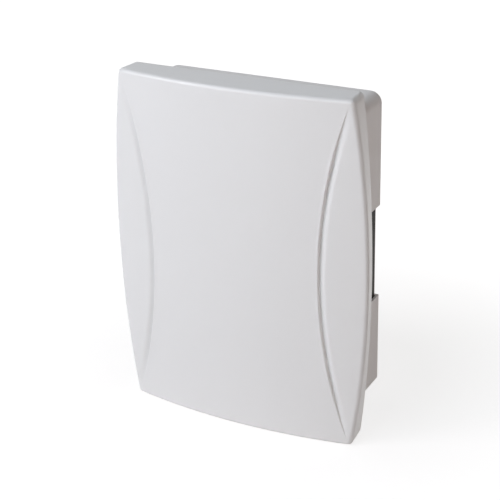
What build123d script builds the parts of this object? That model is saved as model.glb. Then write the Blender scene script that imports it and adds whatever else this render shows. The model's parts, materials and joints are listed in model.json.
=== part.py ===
from build123d import *
import math
import os

os.makedirs("parts", exist_ok=True)

# A two-note door chime for the wall. The wall is the plane Y = 0 and the front faces -Y.
# Z is up and X is to the right. The origin is on the wall, level with the middle of the cover.
# A level is a distance in front of the wall, so a sketch at a level lies on Plane.XZ.offset(level).

# Whole chime
total_depth = 51.4
overrun = 2.0
running_gap = 0.3

# Front cover, outside
cover_half_height = 95.5
cover_depth = 21.0
crest_corner_half = 66.3
crest_bow = 10.0
rim_side_draft = 1.5
rim_height_draft = 0.2
rim_bow = 5.6
face_fall = 6.7
cover_corner_radius = 2.4
face_edge_radius = 2.2
rim_edge_radius = 0.5

# Front cover, inside
face_wall = 2.2
side_wall = 2.0
cover_inner_corner = 1.2
inner_draft = 0.4
seat_rib_width = 1.2
seat_rib_reach = 3.0
seat_rib_share = 0.55

# The two creases of the face
crease_margin = 17.8
crease_bow = 16.5
crease_depth = 2.1
crease_shoulder = 7.0
crease_shoulder_sag = 0.75
crease_wall = 1.6
crease_roll = 2.0
crease_lead = 0.2
wall_top_share = 0.34
roll_share = 0.45
crease_backing = 1.8
ridge_margin = 2.4

# Back box
box_side_margin = 4.6
box_top_margin = 9.5
box_bottom_margin = 17.0
box_wall = 1.3
box_plate = 1.6
box_top_radius = 6.0
box_bottom_radius = 1.5
back_edge_radius = 0.6
brim_thick = 2.0
lip_height = 3.0

# Sound openings in the side walls
opening_top = 25.0
opening_bottom = -27.0
opening_plate_depth = 2.6

# Tone bars: a third apart, and the note of a bar rises as its length squared falls
bar_thick = 3.0
bar_width = 30.0
bar_end_gap = 4.2
note_ratio = 1.26
bar_edge = 0.4
bar_wall_gap = 0.5
bar_plate_gap = 0.4
node_share = 0.276

# Rubber sleeves round the bars
sleeve_wall = 0.9
sleeve_length = 8.0
sleeve_corner = 0.6
seat_gap = 0.2

# Snap forks that hold the sleeves
fork_thick = 1.8
fork_width = 6.0
hook_reach = 1.3
hook_height = 1.5
hook_gap = 0.1
gusset_thick = 1.4
gusset_foot = 7.5
gusset_rise_share = 0.7

# Solenoids, stacked above the terminal block
rear_above_block = 31.0
front_above_rear = 29.0
yoke_thick = 1.5
yoke_inner_length = 36.0
yoke_width = 23.0
yoke_ear = 8.0
yoke_bend = 1.0
bobbin_flange_radius = 11.2
bobbin_flange_thick = 1.4
bobbin_bore_radius = 4.9
bobbin_tube_wall = 1.0
snout_reach = 0.8
coil_radius = 10.2
tape_thick = 0.4
fit_gap = 0.02

# Plungers
core_radius = 4.5
core_length = 40.0
core_edge = 0.5
rod_radius = 2.6
spigot_radius = 2.0
spigot_length = 6.0
spigot_slack = 0.3
rest_gap_low = 3.0
rest_gap_high = 9.0
core_rest_shift = 8.0
collar_radius = 7.0
collar_thick = 1.8
collar_from_pad = 4.7

# Return springs
spring_wire = 0.7
spring_mean_radius = 5.6
spring_turns = 7
spring_seat_gap = 0.1

# Stop of the rear door plunger
stop_wall = 2.0
stop_width = 12.0
stop_reach = 6.0
stop_gusset_foot = 8.0
pad_thick = 2.0
pad_size = 10.0
pad_stroke_gap = 7.0

# Self-tapping screws and their bosses
boss_height = 4.0
boss_radius = 3.4
tapping_radius = 1.35
tapping_length = 6.0
tapping_floor = 0.3
screw_head_radius = 2.7
screw_head_height = 1.8
screw_slot_width = 0.7
screw_slot_depth = 0.8
hole_slack = 0.25

# Terminal block, above the cable entry
block_above_entry = 22.0
block_width = 14.0
terminal_pitch = 14.0
terminal_count = 3
block_thick = 8.0
barrier_thick = 1.4
barrier_rise = 6.0
plate_length = 12.0
plate_width = 10.0
plate_thick = 0.8
terminal_screw_radius = 1.45
terminal_screw_length = 6.5
terminal_head_radius = 2.8
terminal_head_height = 1.8

# Wall fixing and cable entry
keyhole_margin = 20.0
keyhole_entry_radius = 4.5
wall_screw_radius = 2.25
keyhole_travel = 9.0
slot_margin = 16.5
slot_half_spacing = 36.0
slot_length = 9.0
entry_margin = 15.5
entry_width = 30.0
entry_tall = 14.0
entry_corner = 3.0
collar_wall = 1.2
collar_rise = 2.0
pad_rise = 1.2
pad_margin = 3.0

# Insulated leads, as points of X, level and height above the terminal block, and the clips
# that hold two of them to the plate
lead_diameter = 1.4
lead_bend_share = 0.45
lead_routes = {
    "front_lead": [
        (5.0, 18.6, 70.75),
        (5.3, 18.2, 77.5),
        (12.0, 14.2, 82.0),
        (23.0, 9.2, 81.5),
        (31.2, 5.4, 74.5),
        (33.0, 3.4, 63.0),
        (33.0, 2.4, 50.0),
        (33.4, 2.4, 37.0),
        (33.0, 2.4, 24.0),
        (31.2, 5.0, 15.0),
        (22.0, 9.6, 11.5),
        (terminal_pitch, 11.15, 9.0),
        (terminal_pitch, 11.15, 3.0),
    ],
    "front_trans_lead": [
        (11.0, 18.6, 70.8),
        (12.0, 17.8, 76.6),
        (19.0, 13.6, 79.6),
        (27.6, 8.0, 73.5),
        (29.8, 4.4, 62.0),
        (30.0, 2.4, 50.0),
        (30.4, 2.4, 37.0),
        (30.0, 2.4, 24.0),
        (28.6, 4.6, 16.8),
        (18.0, 9.0, 14.5),
        (8.0, 10.9, 13.5),
        (2.2, 11.15, 9.2),
        (2.2, 11.15, 3.0),
    ],
    "rear_trans_lead": [
        (-3.0, 18.6, 20.35),
        (-3.0, 17.8, 15.2),
        (-2.2, 11.15, 9.5),
        (-2.2, 11.15, 3.0),
    ],
    "rear_lead": [
        (-11.0, 18.6, 20.35),
        (-11.4, 17.8, 15.2),
        (-terminal_pitch, 11.15, 9.5),
        (-terminal_pitch, 11.15, 3.0),
    ],
}
lead_column = 30.0
lead_pitch = 3.0
lead_room = 0.3
clip_rises = (47.5, 26.5)
clip_wall = 1.2
clip_width = 4.0
clip_lip = 0.8

# Widths and heights worked out from the sizes above
rim_corner_half = crest_corner_half - rim_side_draft
rim_half_height = cover_half_height - rim_height_draft
crease_middle_half = crest_corner_half - crease_margin
box_half_width = crest_corner_half - box_side_margin
box_top = cover_half_height - box_top_margin
box_bottom = box_bottom_margin - cover_half_height
low_bar_length = 2 * (-box_bottom - box_wall - bar_end_gap)
high_bar_length = low_bar_length / math.sqrt(note_ratio)
entry_height = box_bottom + entry_margin
slot_height = box_bottom + slot_margin
keyhole_height = box_top - keyhole_margin
block_height = entry_height + block_above_entry
rear_height = block_height + rear_above_block
front_height = rear_height + front_above_rear

# Levels and reaches worked out from the sizes above
rim_level = total_depth - cover_depth
brim_front = rim_level + brim_thick
lip_level = brim_front + lip_height
face_radius = (crest_corner_half**2 + face_fall**2) / (2 * face_fall)
crease_radius = (cover_half_height**2 + crease_bow**2) / (2 * crease_bow)
bar_outer = box_half_width - box_wall - bar_wall_gap
bar_inner = bar_outer - bar_thick
bar_back = box_plate + bar_plate_gap
bar_front = bar_back + bar_width
sleeve_outer = bar_outer + sleeve_wall
sleeve_inner = bar_inner - sleeve_wall
sleeve_front = bar_front + sleeve_wall
yoke_seat = box_plate + boss_height
yoke_top = yoke_seat + yoke_thick
axis_level = yoke_top + running_gap + bobbin_flange_radius
yoke_half = yoke_inner_length / 2
yoke_end = yoke_half + yoke_thick
snout_end = yoke_end + snout_reach
tube_radius = bobbin_bore_radius + bobbin_tube_wall
ear_centre = yoke_end + yoke_ear / 2
core_left = -core_rest_shift - core_length / 2
core_right = core_left + core_length
high_tip = bar_inner - rest_gap_high
low_tip = -bar_inner + rest_gap_low
pad_face = low_tip + pad_stroke_gap
collar_face = pad_face + collar_from_pad
stop_tip = pad_face + running_gap
block_top = box_plate + block_thick
block_half = (terminal_pitch * terminal_count + barrier_thick) / 2
block_ear_centre = block_half + running_gap + boss_radius
block_ear = 2 * (boss_radius + running_gap)
plate_top = block_top + plate_thick


def at_level(level):
    """Plane facing the front at a level: its x is X and its y is Z."""
    return Plane.XZ.offset(level)


def plan(level=0, height=0):
    """Plane seen from above at a height: its x is X and its y is the level."""
    return Plane(origin=(0, -level, height), x_dir=(1, 0, 0), z_dir=(0, 0, -1))


def across(x, level, height):
    """Plane facing +X at a point: its x is Z and its y is the level."""
    return Plane(origin=(x, -level, height), x_dir=(0, 0, 1), z_dir=(1, 0, 0))


def face_level(x):
    """Level of the bowed face at a distance x from the middle."""
    return total_depth - face_radius + math.sqrt(face_radius**2 - x**2)


def bowed_half(corner_half, bow, half_height, z):
    """Half width of a bowed outline at the height z."""
    radius = (half_height**2 + bow**2) / (2 * bow)
    return corner_half + bow - radius + math.sqrt(radius**2 - z**2)


def bowed_outline(level, corner_half, bow, half_height, corner):
    """Outline with straight ends, bowed sides and rounded corners at a level."""
    with BuildSketch(at_level(level)) as outline:
        with BuildLine():
            Line((-corner_half, half_height), (corner_half, half_height))
            ThreePointArc(
                (corner_half, half_height), (corner_half + bow, 0), (corner_half, -half_height)
            )
            Line((corner_half, -half_height), (-corner_half, -half_height))
            ThreePointArc(
                (-corner_half, -half_height), (-corner_half - bow, 0), (-corner_half, half_height)
            )
        make_face()
        fillet(outline.vertices(), corner)
    return outline.sketch


def box_outline(level, inset):
    """Outline of the back box at a level, drawn in by an inset."""
    half = box_half_width - inset
    low = box_bottom + inset
    high = box_top - inset
    with BuildSketch(at_level(level)) as outline:
        with BuildLine():
            Polyline((-half, low), (half, low), (half, high), (-half, high), close=True)
        make_face()
        fillet(outline.vertices().group_by(Axis.Y)[0], box_bottom_radius)
        fillet(outline.vertices().group_by(Axis.Y)[-1], box_top_radius - inset)
    return outline.sketch


def under_face(drop, reach):
    """Profile seen from above of all that lies under the bowed face, drop lower."""
    edge_level = face_level(reach) - drop
    with BuildSketch(plan()) as profile:
        with BuildLine():
            ThreePointArc((-reach, edge_level), (0, total_depth - drop), (reach, edge_level))
            Polyline(
                (reach, edge_level), (reach, -overrun), (-reach, -overrun), (-reach, edge_level)
            )
        make_face()
    return profile.sketch


def round_bar(x, length, level, height, radius, mode=Mode.ADD):
    """Round bar or bore along +X from x."""
    with BuildSketch(across(x, level, height)) as section:
        Circle(radius)
    extrude(section.sketch, amount=length, mode=mode)


# The front cover: a drafted prism cut off by the bowed face, hollowed from behind

crease_level = face_level(crease_middle_half)
crease_axis = Axis((crease_middle_half + crease_radius, 0, 0), (0, 1, 0))

with BuildPart() as crease:
    shoulder_x = crease_middle_half + crease_shoulder
    wall_x = crease_middle_half - crease_wall
    roll_x = wall_x - crease_roll
    foot = (crease_middle_half, crease_level - crease_depth)
    sag_x = crease_middle_half + crease_shoulder / 2
    sag = (sag_x, face_level(sag_x) - crease_shoulder_sag)
    shoulder = (shoulder_x, face_level(shoulder_x) + crease_lead)
    wall_top = (wall_x, face_level(wall_x) - crease_depth * wall_top_share)
    roll_middle = (wall_x - crease_roll * roll_share, face_level(wall_x) - crease_lead)
    roll_end = (roll_x, face_level(roll_x) + crease_lead)
    with BuildSketch(plan()):
        with BuildLine():
            ThreePointArc(foot, sag, shoulder)
            above = total_depth + overrun
            Polyline(shoulder, (shoulder_x, above), (roll_x, above), roll_end)
            ThreePointArc(roll_end, roll_middle, wall_top)
            Line(wall_top, foot)
        make_face()
    revolve(axis=crease_axis)

with BuildPart() as ridge:
    ridge_low = crease_level - crease_depth - crease_backing
    ridge_left = wall_x - ridge_margin
    ridge_right = crease_middle_half + crease_shoulder
    with BuildSketch(plan()):
        with BuildLine():
            Polyline(
                (ridge_left, crease_level),
                (wall_x, ridge_low),
                (crease_middle_half + ridge_margin, ridge_low),
                (ridge_right, crease_level),
                close=True,
            )
        make_face()
    revolve(axis=crease_axis)

with BuildPart() as hollow:
    inner_corner = rim_corner_half - side_wall
    inner_height = rim_half_height - side_wall
    mouth = bowed_outline(
        rim_level - overrun, inner_corner, rim_bow, inner_height, cover_inner_corner
    )
    ceiling = bowed_outline(
        total_depth,
        inner_corner - inner_draft,
        rim_bow,
        inner_height - inner_draft,
        cover_inner_corner,
    )
    loft([mouth, ceiling], ruled=True)
    inside = under_face(face_wall, cover_half_height)
    extrude(inside, amount=cover_half_height, both=True, mode=Mode.INTERSECT)
    add(ridge.part, mode=Mode.SUBTRACT)
    mirror(ridge.part, about=Plane.YZ, mode=Mode.SUBTRACT)

with BuildPart() as front_cover:
    rim = bowed_outline(
        rim_level, rim_corner_half, rim_bow, rim_half_height, cover_corner_radius
    )
    crest = bowed_outline(
        total_depth, crest_corner_half, crest_bow, cover_half_height, cover_corner_radius
    )
    loft([rim, crest], ruled=True)
    outside = under_face(0, cover_half_height)
    extrude(outside, amount=cover_half_height + overrun, both=True, mode=Mode.INTERSECT)
    face = front_cover.faces().sort_by(Axis.Y)[0]
    fillet(face.edges(), face_edge_radius)
    fillet(front_cover.faces().sort_by(Axis.Y)[-1].edges(), rim_edge_radius)
    add(crease.part, mode=Mode.SUBTRACT)
    mirror(crease.part, about=Plane.YZ, mode=Mode.SUBTRACT)
    add(hollow.part, mode=Mode.SUBTRACT)
    seat = brim_front + running_gap
    rib_depth = seat_rib_reach + side_wall / 2
    for share in (-seat_rib_share, 0, seat_rib_share):
        rib_z = share * inner_height
        rib_x = bowed_half(inner_corner, rim_bow, inner_height, rib_z)
        side_centre = rib_x - seat_rib_reach + rib_depth / 2
        with BuildSketch(at_level(seat)):
            with Locations((side_centre, rib_z), (-side_centre, rib_z)):
                Rectangle(rib_depth, seat_rib_width)
        extrude(amount=face_level(rib_x) - face_wall / 2 - seat)
        end_x = share * inner_corner
        end_centre = inner_height - seat_rib_reach + rib_depth / 2
        with BuildSketch(at_level(seat)):
            with Locations((end_x, end_centre), (end_x, -end_centre)):
                Rectangle(seat_rib_width, rib_depth)
        extrude(amount=face_level(end_x) - face_wall / 2 - seat)
front_cover.part.label = "front_cover"
export_step(front_cover.part, "parts/front_cover.step")


# The back box: a wall tray with a brim that closes the back of the cover

upper_node_high = node_share * high_bar_length
upper_node_low = node_share * low_bar_length
nodes = [
    (side, sign * half)
    for side, half in ((1, upper_node_high), (-1, upper_node_low))
    for sign in (1, -1)
]
boss_places = [
    (side * ear_centre, height) for side in (-1, 1) for height in (front_height, rear_height)
] + [(side * block_ear_centre, block_height) for side in (-1, 1)]
hook_level = sleeve_front + hook_gap

with BuildPart() as back_box:
    extrude(box_outline(0, 0), amount=lip_level)
    fillet(back_box.faces().sort_by(Axis.Y)[-1].edges(), back_edge_radius)
    brim_corner = rim_corner_half - side_wall - running_gap
    brim_height = rim_half_height - side_wall - running_gap
    brim = bowed_outline(rim_level, brim_corner, rim_bow, brim_height, cover_inner_corner)
    extrude(brim, amount=brim_thick)
    extrude(box_outline(box_plate, box_wall), amount=lip_level, mode=Mode.SUBTRACT)
    # Sound openings, cut from the brim to the wall through wall and plate
    opening_height = opening_top - opening_bottom
    opening_middle = (opening_top + opening_bottom) / 2
    opening_reach = opening_plate_depth + overrun
    opening_x = box_half_width - opening_plate_depth + opening_reach / 2
    with BuildSketch(at_level(-overrun)):
        with Locations((opening_x, opening_middle), (-opening_x, opening_middle)):
            Rectangle(opening_reach, opening_height)
    extrude(amount=rim_level + overrun, mode=Mode.SUBTRACT)
    # Pockets for the sleeves: windows in the plate, running up the side walls
    pocket_width = sleeve_outer + seat_gap - sleeve_inner
    pocket_x = sleeve_inner + pocket_width / 2
    with BuildSketch(at_level(-overrun)):
        with Locations([(side * pocket_x, z) for side, z in nodes]):
            Rectangle(pocket_width, sleeve_length + 2 * seat_gap)
    extrude(amount=lip_level + 2 * overrun, mode=Mode.SUBTRACT)
    # Snap forks with their gussets
    for side, z in nodes:
        root = side * (sleeve_inner - fork_thick)
        face_x = side * sleeve_inner
        with BuildSketch(plan(0, z)):
            with BuildLine():
                Polyline(
                    (root, box_plate / 2),
                    (face_x, box_plate / 2),
                    (face_x, hook_level),
                    (face_x + side * hook_reach, hook_level),
                    (face_x, hook_level + hook_height),
                    (root, hook_level + hook_height),
                    close=True,
                )
            make_face()
        extrude(amount=fork_width / 2, both=True)
        gusset_top = box_plate + gusset_rise_share * bar_width
        with BuildSketch(plan(0, z)):
            with BuildLine():
                Polyline(
                    (root + side * fork_thick / 2, box_plate / 2),
                    (root + side * fork_thick / 2, gusset_top),
                    (root, gusset_top),
                    (root - side * gusset_foot, box_plate / 2),
                    close=True,
                )
            make_face()
        extrude(amount=gusset_thick / 2, both=True)
    # Bosses for the self-tapping screws
    with BuildSketch(at_level(box_plate / 2)):
        with Locations(boss_places):
            Circle(boss_radius)
    extrude(amount=yoke_seat - box_plate / 2)
    pilot_floor = yoke_top - tapping_length - tapping_floor
    with BuildSketch(at_level(pilot_floor)):
        with Locations(boss_places):
            Circle(tapping_radius + fit_gap)
    extrude(amount=yoke_seat + overrun - pilot_floor, mode=Mode.SUBTRACT)
    # Stop wall of the rear door plunger, with its gusset
    stop_right = pad_face - pad_thick
    with BuildSketch(plan(0, rear_height)):
        with BuildLine():
            Polyline(
                (stop_right - stop_wall, box_plate / 2),
                (stop_right, box_plate / 2),
                (stop_right, axis_level + stop_reach),
                (stop_right - stop_wall, axis_level + stop_reach),
                close=True,
            )
        make_face()
    extrude(amount=stop_width / 2, both=True)
    with BuildSketch(plan(0, rear_height)):
        with BuildLine():
            Polyline(
                (stop_right - stop_wall / 2, box_plate / 2),
                (stop_right + stop_gusset_foot, box_plate / 2),
                (stop_right, box_plate + stop_gusset_foot),
                (stop_right - stop_wall / 2, box_plate + stop_gusset_foot),
                close=True,
            )
        make_face()
    extrude(amount=gusset_thick / 2, both=True)
    # Clips for the leads: a post, an arm over the leads and a lip that snaps past them
    clip_side = lead_diameter / 2 + lead_room
    clip_left = lead_column - clip_side - clip_wall
    clip_right = lead_column + lead_pitch + clip_side + clip_wall
    arm_under = box_plate + lead_diameter + 2 * lead_room
    for clip_rise in clip_rises:
        with BuildSketch(plan(0, block_height + clip_rise)):
            with BuildLine():
                Polyline(
                    (clip_left, box_plate / 2),
                    (clip_left, arm_under + clip_wall),
                    (clip_right, arm_under + clip_wall),
                    (clip_right, arm_under - clip_lip),
                    (clip_right - clip_wall, arm_under),
                    (clip_left + clip_wall, arm_under),
                    (clip_left + clip_wall, box_plate / 2),
                    close=True,
                )
            make_face()
        extrude(amount=clip_width / 2, both=True)
    # Raised pads round the keyhole and the two levelling slots
    pad_radius = wall_screw_radius + pad_margin
    keyhole_top = keyhole_height + keyhole_travel
    with BuildSketch(at_level(box_plate / 2)):
        with Locations((0, keyhole_height)):
            Circle(keyhole_entry_radius + pad_margin)
        with Locations((0, keyhole_height + keyhole_travel / 2)):
            Rectangle(2 * pad_radius, keyhole_travel)
        with Locations((0, keyhole_top)):
            Circle(pad_radius)
        with Locations((slot_half_spacing, slot_height), (-slot_half_spacing, slot_height)):
            SlotOverall(slot_length + 2 * pad_margin, 2 * pad_radius)
    extrude(amount=box_plate / 2 + pad_rise)
    with BuildSketch(at_level(-overrun)):
        with Locations((0, keyhole_height)):
            Circle(keyhole_entry_radius)
        with Locations((0, keyhole_height + keyhole_travel / 2)):
            Rectangle(2 * wall_screw_radius, keyhole_travel)
        with Locations((0, keyhole_top)):
            Circle(wall_screw_radius)
        with Locations((slot_half_spacing, slot_height), (-slot_half_spacing, slot_height)):
            SlotOverall(slot_length, 2 * wall_screw_radius)
    extrude(amount=box_plate + pad_rise + 2 * overrun, mode=Mode.SUBTRACT)
    # Cable entry with a low collar
    collar_corner = entry_corner + collar_wall
    with BuildSketch(at_level(box_plate / 2)):
        with Locations((0, entry_height)):
            RectangleRounded(
                entry_width + 2 * collar_wall, entry_tall + 2 * collar_wall, collar_corner
            )
    extrude(amount=box_plate / 2 + collar_rise)
    with BuildSketch(at_level(-overrun)):
        with Locations((0, entry_height)):
            RectangleRounded(entry_width, entry_tall, entry_corner)
    extrude(amount=box_plate + collar_rise + 2 * overrun, mode=Mode.SUBTRACT)
back_box.part.label = "back_box"
export_step(back_box.part, "parts/back_box.step")


# The tone bars stand on edge beside the side walls, each in two rubber sleeves

for name, side, length in (("high", 1, high_bar_length), ("low", -1, low_bar_length)):
    centre = side * (bar_inner + bar_thick / 2)
    with BuildPart() as tone_bar:
        with BuildSketch(at_level(bar_back)):
            with Locations((centre, 0)):
                Rectangle(bar_thick, length)
        extrude(amount=bar_width)
        chamfer(tone_bar.edges(), bar_edge)
    tone_bar.part.label = f"{name}_tone_bar"
    export_step(tone_bar.part, f"parts/{name}_tone_bar.step")
    for place, sign in (("upper", 1), ("lower", -1)):
        with BuildPart() as sleeve:
            with BuildSketch(plan(0, sign * node_share * length)):
                with Locations((centre, bar_back + bar_width / 2)):
                    RectangleRounded(
                        bar_thick + 2 * sleeve_wall, bar_width + 2 * sleeve_wall, sleeve_corner
                    )
                    Rectangle(bar_thick, bar_width, mode=Mode.SUBTRACT)
            extrude(amount=sleeve_length / 2, both=True)
        sleeve.part.label = f"{name}_{place}_sleeve"
        export_step(sleeve.part, f"parts/{name}_{place}_sleeve.step")


# The two solenoids, one above the other, with their plungers lying between the bars


def helix_point(start, angle):
    """Point of the spring's centre line at an angle, in the plane across the axis."""
    return Vector(
        start.X + spring_pitch * angle / (2 * math.pi),
        start.Y + spring_mean_radius * math.cos(angle),
        start.Z + spring_mean_radius * math.sin(angle),
    )


def helix_tangent(angle):
    """Direction of the spring's centre line at an angle."""
    return Vector(
        spring_pitch / (2 * math.pi),
        -spring_mean_radius * math.sin(angle),
        spring_mean_radius * math.cos(angle),
    ).normalized()


def helix_path(start, turns):
    """Centre line of a spring as two tangent arcs for each quarter turn."""
    quarter = math.pi / 2
    with BuildLine() as path:
        for step in range(4 * turns):
            first = helix_point(start, step * quarter)
            last = helix_point(start, (step + 1) * quarter)
            leave = helix_tangent(step * quarter)
            arrive = helix_tangent((step + 1) * quarter)
            span = last - first
            both = leave + arrive
            bend = 2 * (1 - leave.dot(arrive))
            reach = (
                math.sqrt(span.dot(both) ** 2 + 2 * bend * span.dot(span)) - span.dot(both)
            ) / bend
            knee = (first + leave * reach + last - arrive * reach) / 2
            along = last - arrive * reach - first - leave * reach
            TangentArc(first, knee, tangent=leave)
            TangentArc(knee, last, tangent=along.normalized())
    return path.line


def least_gap(path):
    """Least gap between turns of a spring, measured on points of its centre line."""
    points = [edge.position_at(share) for edge in path.edges() for share in (0.25, 0.5, 0.75, 1)]
    half_turn = len(points) // (2 * spring_turns)
    nearest = min(
        (first - last).length
        for place, first in enumerate(points)
        for last in points[place + half_turn :]
    )
    return nearest - spring_wire


spring_left = collar_face + spring_seat_gap + spring_wire / 2
spring_right = -snout_end - spring_seat_gap - spring_wire / 2
spring_pitch = (spring_right - spring_left) / spring_turns

for door, height, left_tip in (
    ("front", front_height, low_tip),
    ("rear", rear_height, stop_tip),
):
    with BuildPart() as yoke:
        with BuildSketch(plan(0, height)):
            with BuildLine():
                Polyline(
                    (-yoke_end, yoke_seat),
                    (yoke_end, yoke_seat),
                    (yoke_end, axis_level + bobbin_flange_radius),
                    (yoke_half, axis_level + bobbin_flange_radius),
                    (yoke_half, yoke_top),
                    (-yoke_half, yoke_top),
                    (-yoke_half, axis_level + bobbin_flange_radius),
                    (-yoke_end, axis_level + bobbin_flange_radius),
                    close=True,
                )
            make_face()
        extrude(amount=yoke_width / 2, both=True)
        upright = yoke.edges().filter_by(Axis.Z)
        low = upright.filter_by(lambda edge: -edge.center().Y < yoke_top + fit_gap)
        inner = low.filter_by(lambda edge: abs(edge.center().X) < yoke_half + fit_gap)
        fillet(inner, yoke_bend / 2)
        with BuildSketch(at_level(yoke_seat)):
            with Locations((-ear_centre, height), (ear_centre, height)):
                Rectangle(yoke_ear, 2 * boss_radius + yoke_thick)
        extrude(amount=yoke_thick)
        with BuildSketch(at_level(yoke_seat - overrun)):
            with Locations((-ear_centre, height), (ear_centre, height)):
                Circle(tapping_radius + hole_slack)
        extrude(amount=yoke_thick + 2 * overrun, mode=Mode.SUBTRACT)
        bore_left = -yoke_end - overrun
        round_bar(bore_left, -2 * bore_left, axis_level, height, tube_radius + fit_gap, Mode.SUBTRACT)
    yoke.part.label = f"{door}_yoke"
    export_step(yoke.part, f"parts/{door}_yoke.step")

    with BuildPart() as bobbin:
        round_bar(-snout_end, 2 * snout_end, axis_level, height, tube_radius)
        flange_left = -yoke_half + fit_gap
        flange_right = yoke_half - fit_gap - bobbin_flange_thick
        round_bar(flange_left, bobbin_flange_thick, axis_level, height, bobbin_flange_radius)
        round_bar(flange_right, bobbin_flange_thick, axis_level, height, bobbin_flange_radius)
        bore_left = -snout_end - overrun
        round_bar(bore_left, -2 * bore_left, axis_level, height, bobbin_bore_radius, Mode.SUBTRACT)
    bobbin.part.label = f"{door}_bobbin"
    export_step(bobbin.part, f"parts/{door}_bobbin.step")

    winding_left = flange_left + bobbin_flange_thick + fit_gap
    with BuildPart() as coil:
        round_bar(winding_left, -2 * winding_left, axis_level, height, coil_radius)
        bore_left = winding_left - overrun
        round_bar(
            bore_left, -2 * bore_left, axis_level, height, tube_radius + fit_gap, Mode.SUBTRACT
        )
    coil.part.label = f"{door}_coil"
    export_step(coil.part, f"parts/{door}_coil.step")

    with BuildPart() as coil_tape:
        round_bar(winding_left, -2 * winding_left, axis_level, height, coil_radius + tape_thick)
        round_bar(
            bore_left, -2 * bore_left, axis_level, height, coil_radius + fit_gap, Mode.SUBTRACT
        )
    coil_tape.part.label = f"{door}_coil_tape"
    export_step(coil_tape.part, f"parts/{door}_coil_tape.step")

    socket = spigot_length + spigot_slack
    with BuildPart() as core:
        round_bar(core_left, core_length, axis_level, height, core_radius)
        chamfer(core.edges().filter_by(GeomType.CIRCLE), core_edge)
        round_bar(core_left, socket, axis_level, height, spigot_radius + fit_gap, Mode.SUBTRACT)
        round_bar(
            core_right - socket, socket, axis_level, height, spigot_radius + fit_gap, Mode.SUBTRACT
        )
    core.part.label = f"{door}_plunger_core"
    export_step(core.part, f"parts/{door}_plunger_core.step")

    with BuildPart() as left_striker:
        round_bar(left_tip, core_left - left_tip, axis_level, height, rod_radius)
        fillet(left_striker.edges().sort_by(Axis.X)[0], rod_radius / 2)
        round_bar(collar_face - collar_thick, collar_thick, axis_level, height, collar_radius)
        round_bar(core_left, spigot_length, axis_level, height, spigot_radius)
    left_striker.part.label = f"{door}_left_striker"
    export_step(left_striker.part, f"parts/{door}_left_striker.step")

    with BuildPart() as right_striker:
        round_bar(core_right, high_tip - core_right, axis_level, height, rod_radius)
        fillet(right_striker.edges().sort_by(Axis.X)[-1], rod_radius / 2)
        round_bar(core_right - spigot_length, spigot_length, axis_level, height, spigot_radius)
    right_striker.part.label = f"{door}_right_striker"
    export_step(right_striker.part, f"parts/{door}_right_striker.step")

    spring_start = Vector(spring_left, -axis_level, height)
    with BuildPart() as spring:
        centre_line = helix_path(spring_start, spring_turns)
        end_plane = Plane(
            origin=helix_point(spring_start, 0), z_dir=helix_tangent(0), x_dir=(0, 1, 0)
        )
        with BuildSketch(end_plane):
            Circle(spring_wire / 2)
        sweep(path=centre_line)
    print(f"{door}_spring least gap between turns {least_gap(centre_line):.2f} mm")
    spring.part.label = f"{door}_spring"
    export_step(spring.part, f"parts/{door}_spring.step")

with BuildPart() as stop_pad:
    with BuildSketch(across(pad_face - pad_thick, axis_level, rear_height)):
        Rectangle(pad_size, pad_size)
    extrude(amount=pad_thick)
stop_pad.part.label = "rear_stop_pad"
export_step(stop_pad.part, "parts/rear_stop_pad.step")


# The terminal block, below the solenoids and above the cable entry

terminals = [
    ((step - (terminal_count - 1) / 2) * terminal_pitch, block_height)
    for step in range(terminal_count)
]
barriers = [
    ((step - terminal_count / 2) * terminal_pitch, block_height)
    for step in range(terminal_count + 1)
]

with BuildPart() as terminal_block:
    with BuildSketch(at_level(box_plate)):
        with Locations((0, block_height)):
            Rectangle(2 * block_half, block_width)
    extrude(amount=block_thick)
    with BuildSketch(at_level(box_plate)):
        with Locations(barriers):
            Rectangle(barrier_thick, block_width)
    extrude(amount=block_thick + barrier_rise)
    ears = [(side * block_ear_centre, block_height) for side in (-1, 1)]
    with BuildSketch(at_level(yoke_seat)):
        with Locations(ears):
            Rectangle(block_ear, 2 * boss_radius + yoke_thick)
    extrude(amount=yoke_thick)
    with BuildSketch(at_level(yoke_seat - overrun)):
        with Locations(ears):
            Circle(tapping_radius + hole_slack)
    extrude(amount=yoke_thick + 2 * overrun, mode=Mode.SUBTRACT)
    screw_floor = plate_top - terminal_screw_length - spigot_slack
    with BuildSketch(at_level(screw_floor)):
        with Locations(terminals):
            Circle(terminal_screw_radius + fit_gap)
    extrude(amount=block_top + overrun - screw_floor, mode=Mode.SUBTRACT)
terminal_block.part.label = "terminal_block"
export_step(terminal_block.part, "parts/terminal_block.step")

with BuildPart() as terminal_plates:
    with BuildSketch(at_level(block_top)):
        with Locations(terminals):
            Rectangle(plate_width, plate_length)
            Circle(terminal_screw_radius + hole_slack, mode=Mode.SUBTRACT)
    extrude(amount=plate_thick)
terminal_plates.part.label = "terminal_plates"
export_step(terminal_plates.part, "parts/terminal_plates.step")


def slotted_screws(places, seat, length, radius, head_radius, head_height):
    """Screws with slotted heads, their heads seated at a level."""
    with BuildSketch(at_level(seat - length)) as shanks:
        with Locations(places):
            Circle(radius)
    extrude(shanks.sketch, amount=length)
    with BuildSketch(at_level(seat)) as heads:
        with Locations(places):
            Circle(head_radius)
    extrude(heads.sketch, amount=head_height)
    with BuildSketch(at_level(seat + head_height - screw_slot_depth)) as slots:
        with Locations(places):
            Rectangle(2 * head_radius + overrun, screw_slot_width)
    extrude(slots.sketch, amount=overrun, mode=Mode.SUBTRACT)


with BuildPart() as terminal_screws:
    slotted_screws(
        terminals,
        plate_top,
        terminal_screw_length,
        terminal_screw_radius,
        terminal_head_radius,
        terminal_head_height,
    )
terminal_screws.part.label = "terminal_screws"
export_step(terminal_screws.part, "parts/terminal_screws.step")

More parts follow.
